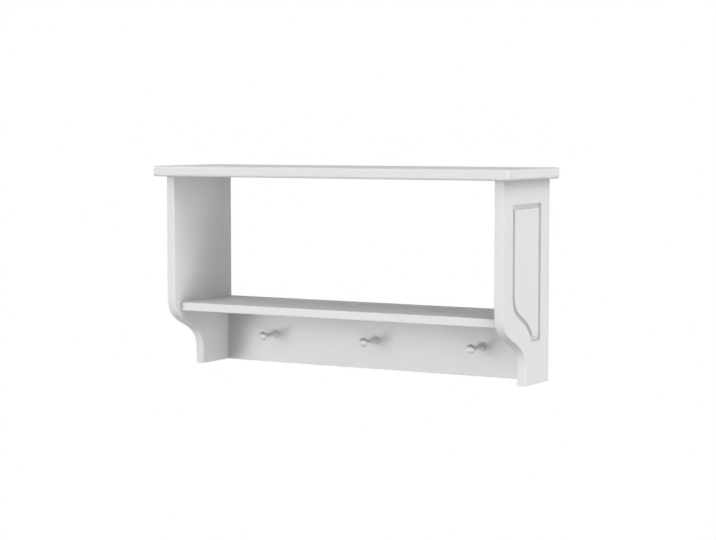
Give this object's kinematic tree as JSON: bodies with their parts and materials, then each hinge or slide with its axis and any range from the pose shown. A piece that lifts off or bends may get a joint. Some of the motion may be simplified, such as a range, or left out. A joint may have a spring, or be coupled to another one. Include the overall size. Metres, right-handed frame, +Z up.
{
  "type": "wall shelf",
  "caption": "White painted wall shelf with a rounded top board, ogee-cut uprights with a routed channel, a lower shelf and a rail of turned metal pegs for coats.",
  "frame": {"origin": "on the back face of the peg rail, in the wall plane, midway between the uprights and 30 mm below the lower shelf", "axes": "+X to the right along the shelf seen from the front, +Y into the wall, +Z up"},
  "size_m": [0.75, 0.217, 0.39],
  "materials": {
    "white_paint": "satin white paint on smooth board",
    "satin_metal": "turned metal, satin nickel finish",
    "screw_steel": "zinc-plated steel",
    "plate_steel": "zinc-plated pressed steel",
    "beech": "bare beech"
  },
  "bodies": {
    "root": {"top_board": "white_paint", "left_side_panel": "white_paint", "right_side_panel": "white_paint", "lower_shelf": "white_paint", "peg_rail": "white_paint", "peg_left": "satin_metal", "peg_middle": "satin_metal", "peg_right": "satin_metal", "peg_screw_left": "screw_steel", "peg_screw_middle": "screw_steel", "peg_screw_right": "screw_steel", "top_dowel_left_front": "beech", "top_dowel_left_middle": "beech", "top_dowel_left_back": "beech", "top_dowel_right_front": "beech", "top_dowel_right_middle": "beech", "top_dowel_right_back": "beech", "shelf_dowel_left_front": "beech", "shelf_dowel_left_middle": "beech", "shelf_dowel_left_back": "beech", "shelf_dowel_right_front": "beech", "shelf_dowel_right_middle": "beech", "shelf_dowel_right_back": "beech", "rail_end_dowel_left_upper": "beech", "rail_end_dowel_left_lower": "beech", "rail_end_dowel_right_upper": "beech", "rail_end_dowel_right_lower": "beech", "rail_top_dowel_left": "beech", "rail_top_dowel_right": "beech", "hanger_plate_left": "plate_steel", "hanger_plate_right": "plate_steel", "hanger_screw_left_upper": "screw_steel", "hanger_screw_left_lower": "screw_steel", "hanger_screw_right_upper": "screw_steel", "hanger_screw_right_lower": "screw_steel"}
  },
  "joints": []
}
